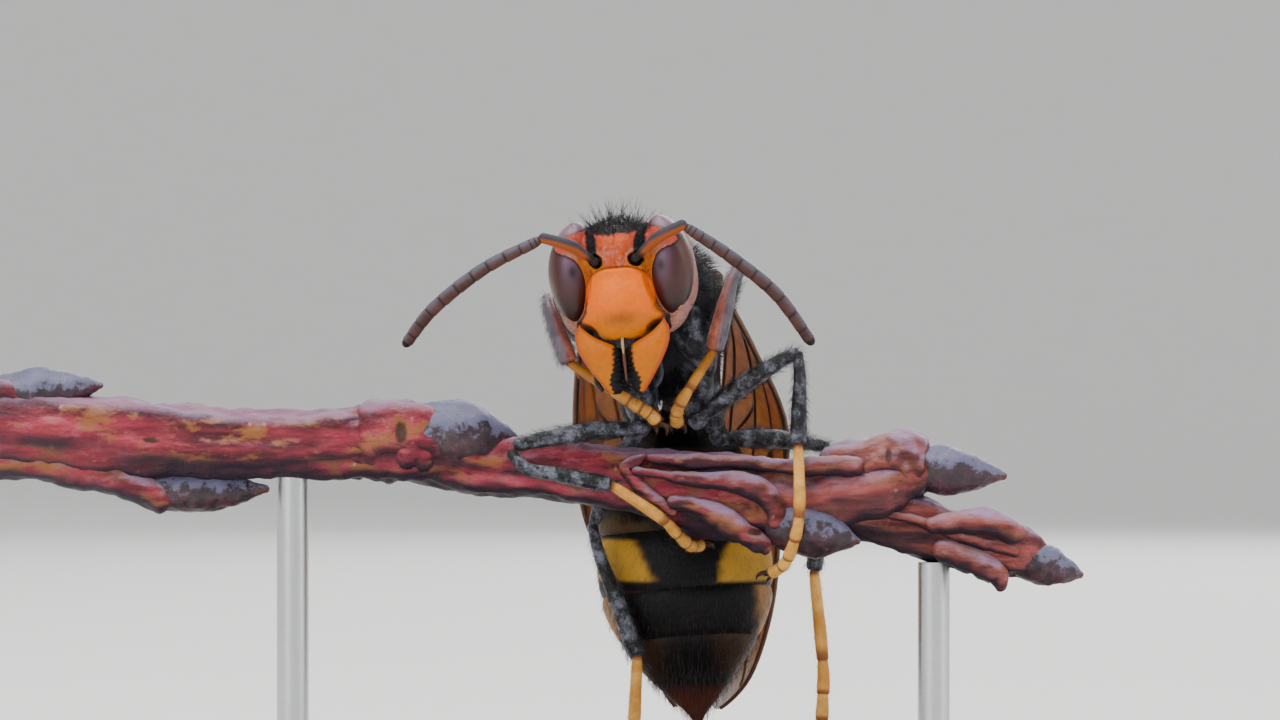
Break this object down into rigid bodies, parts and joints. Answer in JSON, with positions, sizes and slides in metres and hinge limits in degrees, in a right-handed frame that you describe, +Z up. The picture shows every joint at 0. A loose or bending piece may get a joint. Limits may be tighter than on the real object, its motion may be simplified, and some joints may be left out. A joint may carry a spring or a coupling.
{
  "type": "yellow-legged hornet",
  "caption": "Still life-size model of a yellow-legged hornet gripping a cut length of budded twig, held by rods over a flat base.",
  "frame": {"origin": "centre of the base's underside", "axes": "+Z up, +X to the hornet's left and along the twig to its tip, -Y the way the hornet faces"},
  "size_m": [0.0452, 0.024, 0.0257],
  "materials": {
    "shell_black": "satin black cuticle, finely pitted, with short dark hair",
    "shell_orange": "satin orange cuticle, black over the top of the head",
    "shell_brown": "satin dark to reddish brown cuticle",
    "shell_yellow": "satin yellow cuticle with brown joints",
    "shell_banded": "satin black cuticle with thin yellow bands and one broad orange one",
    "eye": "glossy dark purple-brown, fine facets",
    "wing": "smoky amber membrane with brown veins",
    "bark": "smooth crimson bark with tan streaks and dark buds",
    "base_wood": "satin dark stained hardwood",
    "rod_steel": "brushed steel"
  },
  "bodies": {
    "root": {"head": "shell_orange", "eye_left": "eye", "eye_right": "eye", "mandible_left": "shell_orange", "mandible_right": "shell_orange", "antenna_scape_left": "shell_brown", "antenna_scape_right": "shell_brown", "antenna_flagellum_left": "shell_brown", "antenna_flagellum_right": "shell_brown", "thorax": "shell_black", "waist": "shell_black", "gaster_segment_1": "shell_banded", "gaster_segment_2": "shell_banded", "gaster_segment_3": "shell_banded", "gaster_segment_4": "shell_banded", "gaster_segment_5": "shell_banded", "gaster_segment_6": "shell_brown", "leg_fore_left_coxa": "shell_black", "leg_fore_left_femur": "shell_black", "leg_fore_left_tibia": "shell_brown", "leg_fore_left_tarsus": "shell_yellow", "leg_fore_right_coxa": "shell_black", "leg_fore_right_femur": "shell_black", "leg_fore_right_tibia": "shell_brown", "leg_fore_right_tarsus": "shell_yellow", "leg_mid_left_coxa": "shell_black", "leg_mid_left_femur": "shell_black", "leg_mid_left_tibia": "shell_black", "leg_mid_left_tarsus": "shell_yellow", "leg_mid_right_coxa": "shell_black", "leg_mid_right_femur": "shell_black", "leg_mid_right_tibia": "shell_black", "leg_mid_right_tarsus": "shell_yellow", "leg_hind_left_coxa": "shell_black", "leg_hind_left_femur": "shell_black", "leg_hind_left_tibia": "shell_black", "leg_hind_left_tarsus": "shell_yellow", "leg_hind_right_coxa": "shell_black", "leg_hind_right_femur": "shell_black", "leg_hind_right_tibia": "shell_black", "leg_hind_right_tarsus": "shell_yellow", "forewing_left": "wing", "forewing_right": "wing", "hindwing_left": "wing", "hindwing_right": "wing", "perch_twig": "bark", "stand_rod_left": "rod_steel", "stand_rod_right": "rod_steel", "stand_base": "base_wood"}
  },
  "joints": []
}
